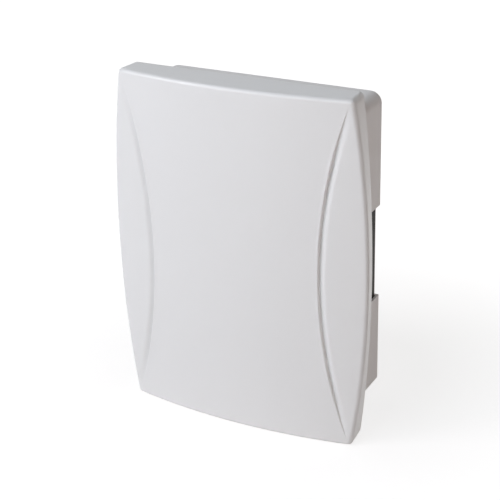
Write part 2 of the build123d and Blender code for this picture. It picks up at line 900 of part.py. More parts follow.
with BuildPart() as self_tapping_screws:
    slotted_screws(
        boss_places,
        yoke_top,
        tapping_length,
        tapping_radius,
        screw_head_radius,
        screw_head_height,
    )
self_tapping_screws.part.label = "self_tapping_screws"
export_step(self_tapping_screws.part, "parts/self_tapping_screws.step")


# The leads from the coils to the terminals, straight runs joined by tangent arcs

for name, route in lead_routes.items():
    points = [Vector(x, -level, block_height + rise) for x, level, rise in route]
    runs = [last - first for first, last in zip(points, points[1:])]
    bends = []
    for before, after in zip(runs, runs[1:]):
        half_turn = math.radians(before.get_angle(after)) / 2
        shorter_run = min(before.length, after.length)
        bends.append(lead_bend_share * shorter_run / math.tan(half_turn))
    with BuildPart() as lead:
        with BuildLine():
            tube_line = FilletPolyline(*points, radius=bends)
        with BuildSketch(Plane(origin=points[0], z_dir=runs[0])):
            Circle(lead_diameter / 2)
        sweep()
    tube_volume = tube_line.length * math.pi * lead_diameter**2 / 4
    print(f"{name} radii", [round(bend, 1) for bend in bends])
    print(f"{name} volume {lead.part.volume:.2f} and section times length {tube_volume:.2f} mm3")
    lead.part.label = name
    export_step(lead.part, f"parts/{name}.step")
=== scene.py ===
"""Two-note door chime for the wall: the finishes, the fine forms, the light and the camera.

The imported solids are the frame. The cover, the return springs, the tape round the windings, the
screws, the felt pad and the leads are built here as finer meshes, and every other solid keeps its
own shape and gets its finish. Sizes are in metres: the wall is the plane Y = 0, the front faces -Y
and Z is up.
"""

import json
import logging
import math
from abc import ABC, abstractmethod
from collections.abc import Callable, Iterator
from dataclasses import asdict, dataclass, field
from enum import Enum
from itertools import product

import bmesh
import bpy
import numpy as np
from mathutils import Matrix, Vector


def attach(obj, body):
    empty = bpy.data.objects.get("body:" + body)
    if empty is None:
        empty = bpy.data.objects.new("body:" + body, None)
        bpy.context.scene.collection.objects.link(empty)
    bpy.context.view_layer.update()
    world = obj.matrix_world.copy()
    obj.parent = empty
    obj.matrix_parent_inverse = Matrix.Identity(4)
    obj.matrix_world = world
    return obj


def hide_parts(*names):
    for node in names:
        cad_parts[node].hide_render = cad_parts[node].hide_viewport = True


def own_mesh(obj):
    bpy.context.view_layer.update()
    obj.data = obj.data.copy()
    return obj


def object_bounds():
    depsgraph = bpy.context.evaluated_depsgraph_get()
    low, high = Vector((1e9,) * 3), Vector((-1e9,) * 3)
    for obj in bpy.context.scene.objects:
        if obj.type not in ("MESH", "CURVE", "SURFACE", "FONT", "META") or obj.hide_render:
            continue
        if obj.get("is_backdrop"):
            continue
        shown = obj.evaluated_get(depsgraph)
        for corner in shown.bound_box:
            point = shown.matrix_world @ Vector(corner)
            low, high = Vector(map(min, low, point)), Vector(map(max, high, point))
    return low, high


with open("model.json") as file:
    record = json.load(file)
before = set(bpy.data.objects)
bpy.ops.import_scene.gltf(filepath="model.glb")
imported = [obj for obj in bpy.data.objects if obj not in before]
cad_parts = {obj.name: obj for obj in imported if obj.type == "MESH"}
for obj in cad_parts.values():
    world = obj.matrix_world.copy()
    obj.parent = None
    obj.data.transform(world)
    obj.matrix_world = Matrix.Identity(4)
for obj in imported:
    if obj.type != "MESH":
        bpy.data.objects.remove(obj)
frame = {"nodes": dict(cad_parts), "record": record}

Colour = tuple[float, float, float]
Point = tuple[float, float, float]
Span = tuple[float, float]
Mesh = bpy.types.Mesh
Socket = bpy.types.NodeSocket

WHITE = (1.0, 1.0, 1.0)
TINY = 1e-9
WAVE_RATE = 20.0  # radians in a metre of a wave texture at scale 1

FRONT_Z, REAR_Z, BLOCK_Z = 0.019, -0.010, -0.041  # heights of both solenoids and the terminal block
SOLENOID_LEVEL = 0.0186  # distance of the solenoids' axes from the wall

logging.basicConfig(level=logging.INFO, format="%(message)s")
log = logging.getLogger("door_chime")

WHOLE_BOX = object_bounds()


# Finishes


class Axis(Enum):
    """Axes that bands can lie across."""

    X = "X"
    Z = "Z"


@dataclass(frozen=True)
class Grain:
    """Cloudy grain: grains in a metre, octaves of finer grain, and a factor on each axis."""

    scale: float
    detail: float = 3.0
    stretch: Point = (1.0, 1.0, 1.0)


@dataclass(frozen=True)
class Bands:
    """Even bands across an axis, such as turns of wire: their spacing and how far they stray."""

    spacing: float
    wobble: float = 0.0
    axis: Axis = Axis.X
    detail: float = 1.0


Pattern = Grain | Bands
Input = Socket | float | Point


class NodeTree:
    """The nodes of a material or a world, put together from nothing."""

    def __init__(self, owner: bpy.types.Material | bpy.types.World) -> None:
        """Empties the nodes of their owner.

        Args:
            owner: The material or the world.
        """
        owner.use_nodes = True
        self.tree = owner.node_tree
        self.tree.nodes.clear()

    def fill(self, target: Socket, value: Input) -> None:
        """Joins a socket to an input, or sets the input to a constant.

        Args:
            target: The input.
            value: Socket or constant. A colour is given by three channels.
        """
        if isinstance(value, Socket):
            self.tree.links.new(value, target)
        else:
            target.default_value = (*value, 1.0) if target.type == "RGBA" else value

    def put(self, node: bpy.types.Node, **inputs: Input) -> None:
        """Fills inputs of a node.

        Args:
            node: The node.
            inputs: Sockets and constants, by the name of the input in words joined by underscores.
        """
        for words, value in inputs.items():
            name = words.replace("_", " ").title().replace("Ior", "IOR")
            self.fill(node.inputs[name], value)

    def add(self, kind: str, *values: Socket, **inputs: Input) -> bpy.types.Node:
        """Adds a node.

        Args:
            kind: Type of the node.
            values: Sockets for its first inputs, in their order.
            inputs: Sockets and constants for other inputs, by name.

        Returns:
            The node.
        """
        node = self.tree.nodes.new(f"ShaderNode{kind}")
        for target, value in zip(node.inputs, values):
            self.fill(target, value)
        self.put(node, **inputs)
        return node

    def maths(self, operation: str, first: Socket, last: Socket) -> Socket:
        """Works on two values.

        Args:
            operation: What is done, such as MULTIPLY.
            first: First value.
            last: Second value.

        Returns:
            Socket with the result.
        """
        node = self.add("Math", first, last)
        node.operation = operation
        return node.outputs["Value"]

    def seen(self) -> Socket:
        """Tells rays that see the surroundings from rays that only light the chime.

        Returns:
            Socket that is 1 for camera, glossy and transmission rays.
        """
        rays = self.add("LightPath").outputs
        share = self.maths("MAXIMUM", rays["Is Camera Ray"], rays["Is Glossy Ray"])
        return self.maths("MAXIMUM", share, rays["Is Transmission Ray"])


class Shader(NodeTree):
    """A material that is put together node by node round one Principled shader."""

    def __init__(self, name: str) -> None:
        """Starts the material with its shader and output.

        Args:
            name: Name of the material.
        """
        self.material = bpy.data.materials.new(name)
        super().__init__(self.material)
        self.surface = self.add("BsdfPrincipled")
        self.output = self.add("OutputMaterial", surface=self.surface.outputs["BSDF"])
        self.place = self.add("TexCoord").outputs["Object"]

    def draw(self, pattern: Pattern) -> Socket:
        """Adds a pattern that is fixed to the piece.

        Args:
            pattern: The pattern.

        Returns:
            Socket with the pattern from 0 to 1.
        """
        if isinstance(pattern, Grain):
            place = self.add("Mapping", self.place, scale=pattern.stretch).outputs["Vector"]
            texture = self.add("TexNoise", place, scale=pattern.scale, detail=pattern.detail)
        else:
            scale = 2 * math.pi / (WAVE_RATE * pattern.spacing)
            texture = self.add("TexWave", self.place, scale=scale, detail=pattern.detail)
            self.put(texture, distortion=pattern.wobble)
            texture.bands_direction = pattern.axis.value
        return texture.outputs["Fac"]

    def ramp(self, source: Socket, read: Span, given: Span) -> Socket:
        """Maps a socket from the span that is read to the span that is given."""
        ends = {"from_min": read[0], "from_max": read[1], "to_min": given[0], "to_max": given[1]}
        return self.add("MapRange", source, **ends).outputs["Result"]

    def tint(self, share: Socket, first: Colour, last: Colour) -> None:
        """Colours the surface between two shades.

        Args:
            share: Socket that runs from 0 at the first shade to 1 at the last.
            first: Shade at 0.
            last: Shade at 1.
        """
        node = self.add("Mix")
        node.data_type = "RGBA"
        self.put(node, factor=share, a=first, b=last)
        self.put(self.surface, base_color=node.outputs["Result"])

    def bump(self, *layers: tuple[Pattern, float]) -> None:
        """Raises the surface by layers of relief.

        Args:
            layers: Pairs of a pattern and its height in metres, the lowest layer first.
        """
        below = {}
        for pattern, height in layers:
            below["height"] = self.draw(pattern)
            relief = self.add("Bump", strength=1.0, distance=height, **below)
            below = {"normal": relief.outputs["Normal"]}
        self.put(self.surface, **below)


def shade(colour: Colour, factor: float) -> Colour:
    """A colour made lighter or darker by a factor."""
    return tuple(min(1.0, channel * factor) for channel in colour)


@dataclass(frozen=True)
class Optics:
    """Constants on the shader's own sockets, by their names."""

    metallic: float = 0.0
    ior: float = 1.5
    specular_ior_level: float = 0.5
    coat_weight: float = 0.0
    coat_roughness: float = 0.03
    subsurface_weight: float = 0.0
    subsurface_scale: float = 0.001
    sheen_weight: float = 0.0
    sheen_roughness: float = 0.5


@dataclass(frozen=True)
class Finish:
    """Soft patches of two shades, with a gloss that wanders and a fine relief.

    The shades are factors on the colour, and a film is a second colour in place of the second
    shade. The gloss and the skin, which is the finest relief, follow the patches unless they have
    a grain of their own. Marks lie below the skin.
    """

    name: str
    colour: Colour
    film: Colour | None = None
    shades: Span = (1.0, 1.0)
    patches: Pattern = Grain(220.0, 4.0)
    patch_span: Span = (0.3, 0.7)
    gloss: Span = (0.3, 0.5)
    gloss_grain: Grain | None = None
    gloss_span: Span = (0.3, 0.7)
    skin: Grain | None = None
    skin_height: float = 0.00001
    marks: Bands | None = None
    marks_height: float = 0.000004
    optics: Optics = Optics()

    def make(self) -> bpy.types.Material:
        """Builds the material.

        Returns:
            The material, under the name of the finish.
        """
        shader = Shader(self.name)
        first, last = (shade(self.colour, factor) for factor in self.shades)
        patches = shader.ramp(shader.draw(self.patches), self.patch_span, (0.0, 1.0))
        shader.tint(patches, first, self.film or last)
        gloss = shader.draw(self.gloss_grain or self.patches)
        shader.put(shader.surface, roughness=shader.ramp(gloss, self.gloss_span, self.gloss))
        shader.put(shader.surface, **asdict(self.optics))
        marks = [(self.marks, self.marks_height)] if self.marks else []
        shader.bump(*marks, (self.skin or self.patches, self.skin_height))
        return shader.material


@dataclass(frozen=True)
class MouldedPlastic(Finish):
    """Injection moulded shell plastic with flow shades and a faint mould grain."""

    shades: Span = (0.994, 1.006)
    patches: Grain = Grain(14.0, 4.0, (1.0, 1.0, 0.45))
    gloss: Span = (0.30, 0.35)
    gloss_grain: Grain = Grain(30.0)
    skin: Grain = Grain(2600.0, 2.0)
    skin_height: float = 0.000004


@dataclass(frozen=True)
class PaintedSteel(Finish):
    """Steel bar under thin black paint, with a slight orange peel."""

    shades: Span = (1.0, 1.5)
    patches: Grain = Grain(90.0, 5.0)
    patch_span: Span = (0.35, 0.75)
    gloss: Span = (0.55, 0.68)
    gloss_grain: Grain = Grain(240.0, 4.0)
    skin: Grain = Grain(1400.0, 2.0)
    skin_height: float = 0.00002
    optics: Optics = Optics(ior=1.45, specular_ior_level=0.25)


@dataclass(frozen=True)
class SoftRubber(Finish):
    """Moulded rubber, matt and a little dusty."""

    shades: Span = (1.0, 2.0)
    patches: Grain = Grain(300.0, 6.0)
    patch_span: Span = (0.45, 0.8)
    gloss: Span = (0.62, 0.85)
    skin: Grain = Grain(2600.0)
    skin_height: float = 0.00003


@dataclass(frozen=True)
class PlatedSteel(Finish):
    """Bright metal with fine drawn or turned marks and a faint film of colour."""

    patch_span: Span = (0.4, 0.7)
    gloss: Span = (0.24, 0.42)
    gloss_grain: Grain = Grain(520.0, 5.0)
    skin: Grain = Grain(900.0)
    marks: Bands = Bands(0.00012, 1.2)
    optics: Optics = Optics(metallic=1.0)


@dataclass(frozen=True)
class WoundWire(Finish):
    """Enamelled copper wire, wound turn beside turn, with painted shade: its colour darkens to 0.45 of
    the copper in the grooves between turns, where the bump also dips.
    """

    # painted shade: the colour is darker in the grooves between the turns
    shades: Span = (0.45, 1.0)
    patches: Bands = Bands(0.0003, 0.3)
    patch_span: Span = (0.0, 1.0)
    gloss: Span = (0.22, 0.34)
    gloss_grain: Grain = Grain(400.0)
    skin_height: float = 0.00012
    optics: Optics = Optics(metallic=0.85, coat_weight=0.4, coat_roughness=0.15)


@dataclass(frozen=True)
class AmberTape(Finish):
    """Thin polyester tape with the turns below pressing through."""

    shades: Span = (0.82, 1.08)
    patches: Grain = Grain(260.0, 5.0, (0.35, 1.0, 1.0))
    patch_span: Span = (0.35, 0.7)
    gloss: Span = (0.2, 0.36)
    skin_height: float = 0.00008
    marks: Bands = Bands(0.0009, 2.0)
    marks_height: float = 0.00004
    optics: Optics = Optics(ior=1.52, coat_weight=0.3, coat_roughness=0.12)


@dataclass(frozen=True)
class Nylon(Finish):
    """Natural nylon that takes a little light into itself."""

    shades: Span = (0.96, 1.03)
    patches: Grain = Grain(120.0, 4.0)
    gloss: Span = (0.36, 0.5)
    gloss_grain: Grain = Grain(500.0, 4.0)
    skin: Grain = Grain(2200.0, 2.0)
    optics: Optics = Optics(ior=1.53, subsurface_weight=0.12)


@dataclass(frozen=True)
class PressedFelt(Finish):
    """Pressed wool felt."""

    shades: Span = (0.6, 1.4)
    patches: Grain = Grain(1500.0, 8.0)
    patch_span: Span = (0.35, 0.65)
    gloss: Span = (0.95, 0.95)
    skin_height: float = 0.0002
    optics: Optics = Optics(sheen_weight=0.4)


@dataclass(frozen=True)
class LeadSheath(Finish):
    """Soft plastic insulation of a thin lead."""

    shades: Span = (0.92, 1.06)
    patches: Grain = Grain(350.0)
    gloss: Span = (0.32, 0.46)
    skin: Grain = Grain(1800.0, 2.0)


class Slot(Enum):
    """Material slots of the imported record, each with its finish."""

    WHITE_COVER = MouldedPlastic("white_cover", (0.80, 0.80, 0.795))
    WHITE_BOX = MouldedPlastic("white_box", (0.80, 0.785, 0.775), gloss=(0.40, 0.46))
    BLACK_BAR = PaintedSteel("black_bar", (0.020, 0.017, 0.016))
    RUBBER = SoftRubber("rubber", (0.025, 0.025, 0.026))
    ZINC_STEEL = PlatedSteel("zinc_steel", (0.66, 0.67, 0.68), (0.70, 0.69, 0.63))
    BOBBIN_NYLON = Nylon("bobbin_nylon", (0.82, 0.79, 0.70))
    COPPER_WIRE = WoundWire("copper_wire", (0.80, 0.38, 0.20))
    YELLOW_TAPE = AmberTape("yellow_tape", (0.72, 0.47, 0.13))
    CORE_STEEL = PlatedSteel(
        "core_steel",
        (0.50, 0.50, 0.51),
        (0.44, 0.43, 0.42),
        gloss=(0.28, 0.45),
        marks=Bands(0.0002, 1.2),
    )
    STRIKER_NYLON = Nylon(
        "striker_nylon", (0.86, 0.85, 0.81), optics=Optics(ior=1.53, subsurface_weight=0.2)
    )
    SPRING_STEEL = PlatedSteel(
        "spring_steel", (0.62, 0.62, 0.63), (0.56, 0.55, 0.52), gloss=(0.2, 0.32)
    )
    FELT = PressedFelt("felt", (0.14, 0.145, 0.155))
    BLOCK_NYLON = Nylon(
        "block_nylon", (0.66, 0.645, 0.58), optics=Optics(ior=1.53, subsurface_weight=0.05)
    )
    BRASS_PLATE = PlatedSteel(
        "brass_plate",
        (0.80, 0.62, 0.28),
        (0.70, 0.50, 0.22),
        gloss=(0.26, 0.4),
        marks=Bands(0.00015, 1.2, Axis.Z),
    )
    LEAD_RED = LeadSheath("lead_red", (0.50, 0.035, 0.030))
    LEAD_WHITE = LeadSheath("lead_white", (0.78, 0.78, 0.75))


def placed(name: str, data: bpy.types.ID) -> bpy.types.Object:
    """Puts an object in the scene.

    Args:
        name: Name of the object.
        data: Its mesh, curve, light or camera.

    Returns:
        The object.
    """
    made = bpy.data.objects.new(name, data)
    bpy.context.scene.collection.objects.link(made)
    return made


class Workshop:
    """Makes each finish once and hands meshes over as finished pieces of the chime."""

    def __init__(self) -> None:
        """Builds all the finishes."""
        self.finishes = {slot: slot.value.make() for slot in Slot}

    def piece(
        self, name: str, shape: Mesh | bpy.types.Curve, slot: Slot, body: str, *nodes: str
    ) -> bpy.types.Object:
        """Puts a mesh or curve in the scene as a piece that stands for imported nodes.

        Args:
            name: Name of the piece.
            shape: Its mesh or curve, in place.
            slot: Its material slot.
            body: Body that it rides on.
            nodes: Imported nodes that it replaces.

        Returns:
            The new object.
        """
        made = placed(name, shape)
        shape.materials.append(self.finishes[slot])
        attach(made, body)
        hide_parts(*nodes)
        return made

    def dress_nodes(self) -> None:
        """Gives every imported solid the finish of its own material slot."""
        slots = {slot.value.name: slot for slot in Slot}
        for row in frame["record"]["subparts"]:
            materials = frame["nodes"][row["node"]].data.materials
            materials.clear()
            materials.append(self.finishes[slots[row["material_slot"]]])


@dataclass(kw_only=True)
class Assembly(ABC):
    """A sub-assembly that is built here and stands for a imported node."""

    name: str
    node: str
    slot: Slot
    body: str = "base"

    @abstractmethod
    def build(self) -> Mesh | bpy.types.Curve:
        """Builds the mesh or curve in its place."""

    def dress(self, shop: Workshop) -> bpy.types.Object:
        """Puts the sub-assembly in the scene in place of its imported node."""
        return shop.piece(self.name, self.build(), self.slot, self.body, self.node)


# Meshes


BOX_FACES = ((0, 1, 3, 2), (4, 6, 7, 5), (0, 4, 5, 1), (2, 3, 7, 6), (0, 2, 6, 4), (1, 5, 7, 3))


def points_of(*axes: np.ndarray | float) -> np.ndarray:
    """Points from their coordinates, any of which may be shared."""
    return np.stack(np.broadcast_arrays(*axes), axis=-1)


def edge_of(grid: np.ndarray) -> np.ndarray:
    """Values of a grid along its edge, once round."""
    return np.concatenate([grid[0, :-1], grid[:-1, -1], grid[-1, :0:-1], grid[:0:-1, 0]])


def settle(work: bmesh.types.BMesh, mesh: Mesh, hard_angle: float) -> Mesh:
    """Writes worked faces into a mesh, smooth but for its hard edges.

    Args:
        work: The faces, which aren't kept.
        mesh: The mesh to write into.
        hard_angle: Angle in degrees beyond which an edge stays hard.

    Returns:
        The mesh.
    """
    work.to_mesh(mesh)
    work.free()
    mesh.polygons.foreach_set("use_smooth", [True] * len(mesh.polygons))
    mesh.set_sharp_from_angle(angle=math.radians(hard_angle))
    return mesh


class Skin:
    """A mesh that is put together from rows of points."""

    def __init__(self) -> None:
        """Starts with no points."""
        self.points: list[np.ndarray] = []
        self.faces: list[list[int]] = []
        self.count = 0

    def add(self, points: np.ndarray) -> np.ndarray:
        """Adds points.

        Args:
            points: Array whose last axis is x, y and z.

        Returns:
            The numbers of the points, in the shape of the array.
        """
        numbers = self.count + np.arange(points.size // 3).reshape(points.shape[:-1])
        self.points.append(points.reshape(-1, 3))
        self.count += numbers.size
        return numbers

    def fill(self, *rows: np.ndarray, around: bool = False) -> None:
        """Lays faces between rows of points.

        Args:
            rows: Numbers of the points of each row, all of one length.
            around: Whether each row closes on itself.
        """
        grid = np.stack(rows)
        if around:
            grid = np.hstack([grid, grid[:, :1]])
        corners = (grid[:-1, :-1], grid[:-1, 1:], grid[1:, 1:], grid[1:, :-1])
        self.faces += np.stack([corner.ravel() for corner in corners], axis=1).tolist()

    def box(self, low: Point, high: Point) -> None:
        """Adds a box between its lowest and highest corners."""
        numbers = self.add(np.array(list(product(*zip(low, high)))))
        self.faces += numbers[np.array(BOX_FACES)].tolist()

    def turn(self, radii: np.ndarray, levels: np.ndarray, tips: Span) -> None:
        """Adds a closed form round the Y axis.

        Args:
            radii: Radius of every point, with a row for each ring.
            levels: Level of each ring on the axis.
            tips: Levels of the points that close the first and the last ring.
        """
        angle = 2 * math.pi * np.arange(radii.shape[1]) / radii.shape[1]
        ends = self.add(np.array([(0.0, tip, 0.0) for tip in tips]))
        rings = self.add(points_of(radii * np.cos(angle), levels[:, None], radii * np.sin(angle)))
        self.fill(*rings, around=True)
        for end, ring in zip(ends, (rings[0], rings[-1])):
            fan = np.stack([np.full_like(ring, end), ring, np.roll(ring, -1)], axis=1)
            self.faces += fan.tolist()

    def mesh(self, name: str, hard_angle: float = 35.0) -> Mesh:
        """Makes the mesh, with its faces turned outwards.

        Args:
            name: Name of the mesh.
            hard_angle: Angle in degrees beyond which an edge stays hard.

        Returns:
            The mesh.
        """
        mesh = bpy.data.meshes.new(name)
        mesh.from_pydata(np.vstack(self.points).tolist(), [], self.faces)
        work = bmesh.new()
        work.from_mesh(mesh)
        bmesh.ops.recalc_face_normals(work, faces=work.faces)
        return settle(work, mesh, hard_angle)


def cut_out(mesh: Mesh, knife: Mesh) -> Mesh:
    """Cuts one closed mesh out of another.

    Args:
        mesh: The mesh to cut.
        knife: The mesh that is taken away from it.

    Returns:
        A new mesh with the cut in it.
    """
    body, tool = (placed(data.name, data) for data in (mesh, knife))
    modifier = body.modifiers.new("cut", "BOOLEAN")
    modifier.operation = "DIFFERENCE"
    modifier.solver = "EXACT"
    modifier.object = tool
    depsgraph = bpy.context.evaluated_depsgraph_get()
    result = bpy.data.meshes.new_from_object(body.evaluated_get(depsgraph))
    for made in (body, tool):
        bpy.data.objects.remove(made)
    return result


@dataclass(frozen=True)
class Outline:
    """A bowed outline: half width at heights, inset at the sides, half height and corner radius."""

    reach_at: Callable[[np.ndarray], np.ndarray]
    inset: float
    half_height: float
    corner: float


@dataclass(kw_only=True)
class FrontCover(Assembly):
    """The moulded front: a bowed face with two curved creases, drafted walls and seat ribs."""

    name: str = "cover_shell"
    node: str = "front_cover"
    slot: Slot = Slot.WHITE_COVER
    body: str = "cover"
    half_height: float = 0.0955
    depth: float = 0.021
    total_depth: float = 0.0514
    corner_half: float = 0.0663
    bow: float = 0.010
    rim_side_draft: float = 0.0015
    rim_height_draft: float = 0.0002
    rim_bow: float = 0.0056
    face_fall: float = 0.0067
    corner_radius: float = 0.0024
    edge_radius: float = 0.0022
    rim_radius: float = 0.0005
    face_wall: float = 0.0022
    side_wall: float = 0.002
    inner_corner: float = 0.0012
    inner_draft: float = 0.0004
    crease_middle: float = 0.0485
    crease_bow: float = 0.0165
    crease_depth: float = 0.0017
    crease_shoulder: float = 0.0044
    crease_wall: float = 0.0016
    crease_round: float = 0.0006
    crease_lip: float = 0.0002
    crease_lip_width: float = 0.0016
    crease_lean: float = 5.0
    crease_foot: float = 0.0001
    crease_full: float = 0.062
    crease_end: float = 0.093
    crease_edge_fade: float = 0.003
    crease_backing: float = 0.0022
    ridge_reach: float = 0.007
    ridge_margin: float = 0.0024
    rib_width: float = 0.0012
    rib_reach: float = 0.003
    rib_share: float = 0.55
    seat: float = 0.0327
    lip_power: float = 1.7
    shoulder_powers: Span = (0.6, 1.4)
    profile_points: tuple[int, int, int] = (13, 12, 25)
    columns: tuple[int, ...] = (24, 8, 8, 5, 20, 12)
    column_room: float = 0.0006
    rows: int = 150
    end_rows: int = 5
    edge_steps: int = 8
    wall_steps: int = 6
    rim_steps: int = 3
    reach_rounds: int = 6
    hard_angle: float = 38.0
    radius: float = field(init=False)
    crease_radius: float = field(init=False)

    def __post_init__(self) -> None:
        """Works out the radius of the face and of the creases."""
        self.radius = (self.corner_half**2 + self.face_fall**2) / (2 * self.face_fall)
        self.crease_radius = (self.half_height**2 + self.crease_bow**2) / (2 * self.crease_bow)

    def bowed(self, x: np.ndarray | float) -> np.ndarray | float:
        """Level of the plain bowed face at distances x from the middle."""
        return self.total_depth - self.radius + np.sqrt(self.radius**2 - x**2)

    def along_crease(self, x: np.ndarray, z: np.ndarray) -> np.ndarray:
        """Distance from the middle at which a point's crease line crosses the half height."""
        centre = self.crease_middle + self.crease_radius
        return centre - np.hypot(centre - np.abs(x), z)

    def crease_line(self, offset: float, z: np.ndarray) -> np.ndarray:
        """Distance from the middle, at heights z, of the line this far outside a crease's foot."""
        radius = self.crease_radius - offset
        return self.crease_middle + self.crease_radius - np.sqrt(radius**2 - z**2)

    def crease_offsets(self) -> tuple[float, float, float, float]:
        """Works out the places of a crease, measured from its foot.

        Returns:
            Start of the round, top of the wall, foot and end of the shoulder.
        """
        turn = math.radians(90.0 - self.crease_lean)
        wall_depth = self.crease_depth - self.crease_round * (1 - math.cos(turn))
        wall_top = -self.crease_foot - wall_depth * math.tan(math.radians(self.crease_lean))
        return wall_top - self.crease_round * math.sin(turn), wall_top, 0.0, self.crease_shoulder

    def crease_cut(self, place: np.ndarray) -> np.ndarray:
        """Depth of a crease below the bowed face at half height.

        From the middle outwards it has a faint lip, a round, a steep wall down to the foot and a
        soft shoulder that rises back to the face.

        Args:
            place: Distances from the middle.

        Returns:
            Depths below the face.
        """
        start, _, foot, shoulder = self.crease_offsets()
        lip_points, round_points, shoulder_points = self.profile_points
        lip = np.linspace(0, 1, lip_points)[:-1]
        turn = np.radians(np.linspace(0, 90.0 - self.crease_lean, round_points))
        rise = np.linspace(0, 1, shoulder_points)
        outward, inward = self.shoulder_powers
        slope = rise**outward * (1 - rise) ** inward
        risen = np.cumsum(slope) / np.sum(slope)
        offsets = np.concatenate(
            [
                start - self.crease_lip_width * (1 - lip),
                start + self.crease_round * np.sin(turn),
                [-self.crease_foot],
                foot + shoulder * rise,
            ]
        )
        depths = np.concatenate(
            [
                -self.crease_lip * lip**self.lip_power,
                self.crease_round * (1 - np.cos(turn)) - self.crease_lip,
                [self.crease_depth],
                self.crease_depth * (1 - risen),
            ]
        )
        return np.interp(place - self.crease_middle, offsets, depths, left=0.0, right=0.0)

    def outer_level(self, x: np.ndarray, z: np.ndarray) -> np.ndarray:
        """Level of the outer face with its creases, which fade towards the corners.

        Args:
            x: Distances of the points from the middle.
            z: Their heights.

        Returns:
            Their distances from the wall.
        """
        left = (self.crease_end - np.abs(z)) / (self.crease_end - self.crease_full)
        to_edge = (self.face_reach(z) - np.abs(x) - self.edge_radius) / self.crease_edge_fade
        strength = np.clip(left, 0, 1) * np.clip(to_edge, 0, 1)
        return self.bowed(x) - self.crease_cut(self.along_crease(x, z)) * strength

    def inner_level(self, x: np.ndarray, z: np.ndarray) -> np.ndarray:
        """Level of the inner face, which follows each crease with a ridge.

        Args:
            x: Distances of the points from the middle.
            z: Their heights.

        Returns:
            Their distances from the wall.
        """
        crest = float(self.bowed(self.crease_middle))
        low = crest - self.crease_depth - self.crease_backing
        wall_x = self.crease_middle - self.crease_wall
        stops = [
            wall_x - self.ridge_margin,
            wall_x,
            self.crease_middle + self.ridge_margin,
            self.crease_middle + self.ridge_reach,
        ]
        levels = [crest, low, low, crest]
        ridge = np.interp(self.along_crease(x, z), stops, levels, left=1.0, right=1.0)
        return np.minimum(self.bowed(x) - self.face_wall, ridge)

    def stations(self, half_height: float) -> np.ndarray:
        """Heights of the rows of an outline, closer together in its corners.

        Args:
            half_height: Half height of the outline.

        Returns:
            The heights, from the lowest.
        """
        block = self.half_height - self.edge_radius - self.corner_radius
        share = np.arange(1, self.end_rows + 1) / self.end_rows
        end = block + (half_height - block) * np.sin(share * math.pi / 2)
        middle = np.linspace(-block, block, self.rows + 1)
        return np.concatenate([-end[::-1], middle, end])

    def column_places(self, heights: np.ndarray, reach: np.ndarray) -> np.ndarray:
        """Distances from the middle of the columns of the face, close together at the creases.

        Args:
            heights: Height of each row.
            reach: Half width of each row.

        Returns:
            Array with a row of distances for each height, from 0 to the reach.
        """
        start, wall_top, foot, shoulder = self.crease_offsets()
        offsets = (start - self.crease_lip_width, start, wall_top, foot, shoulder)
        stops = [np.zeros_like(heights)]
        for step, offset in enumerate(offsets):
            room = (len(offsets) - step) * self.column_room
            stops.append(np.minimum(self.crease_line(offset, heights), reach - room))
        stops.append(reach)
        runs = []
        for count, near, far in zip(self.columns, stops, stops[1:]):
            shares = np.arange(count) / count
            runs.append(near[:, None] + (far - near)[:, None] * shares)
        return np.hstack([*runs, reach[:, None]])

    def half_at(
        self, z: np.ndarray | float, corner_half: float, bow: float, half_height: float
    ) -> np.ndarray:
        """Half width of a bowed outline at heights z."""
        radius, z = (half_height**2 + bow**2) / (2 * bow), np.clip(z, -half_height, half_height)
        return corner_half + bow - radius + np.sqrt(radius**2 - z**2)

    def rim_reach(self, z: np.ndarray) -> np.ndarray:
        """Half width of the rim at heights z."""
        corner_half = self.corner_half - self.rim_side_draft
        return self.half_at(z, corner_half, self.rim_bow, self.half_height - self.rim_height_draft)

    def face_reach(self, z: np.ndarray) -> np.ndarray:
        """Half width at which the drafted side wall would meet the bowed face in an edge.

        Args:
            z: Heights.

        Returns:
            Half widths.
        """
        crest = self.half_at(z, self.corner_half, self.bow, self.half_height)
        rim = self.rim_reach(z)
        reach = crest
        for _ in range(self.reach_rounds):
            share = (self.bowed(reach) - self.total_depth + self.depth) / self.depth
            reach = rim + (crest - rim) * share
        return reach

    def grid(self, outline: Outline) -> tuple[np.ndarray, np.ndarray]:
        """Rows and columns of points that fill an outline with rounded corners.

        Args:
            outline: The outline.

        Returns:
            Arrays of x and z, with a row for each height.
        """
        heights = self.stations(outline.half_height)
        right = self.column_places(heights, outline.reach_at(heights) - outline.inset)
        x = np.hstack([-right[:, :0:-1], right])
        z = np.repeat(heights[:, None], x.shape[1], axis=1)
        corner_half = float(outline.reach_at(outline.half_height)) - outline.inset
        for side, end in product((-1, 1), repeat=2):
            centre_x = side * (corner_half - outline.corner)
            centre_z = end * (outline.half_height - outline.corner)
            out_x, out_z = (x - centre_x) * side, (z - centre_z) * end
            factor = np.maximum(out_x, out_z) / np.maximum(np.hypot(out_x, out_z), TINY)
            outside = (out_x > 0) & (out_z > 0)
            x = np.where(outside, centre_x + side * out_x * factor, x)
            z = np.where(outside, centre_z + end * out_z * factor, z)
        return x, z

    def ring(self, outline: Outline, level: float) -> np.ndarray:
        """Points once round an outline, at a distance from the wall."""
        x, z = self.grid(outline)
        return edge_of(points_of(x, -level, z))

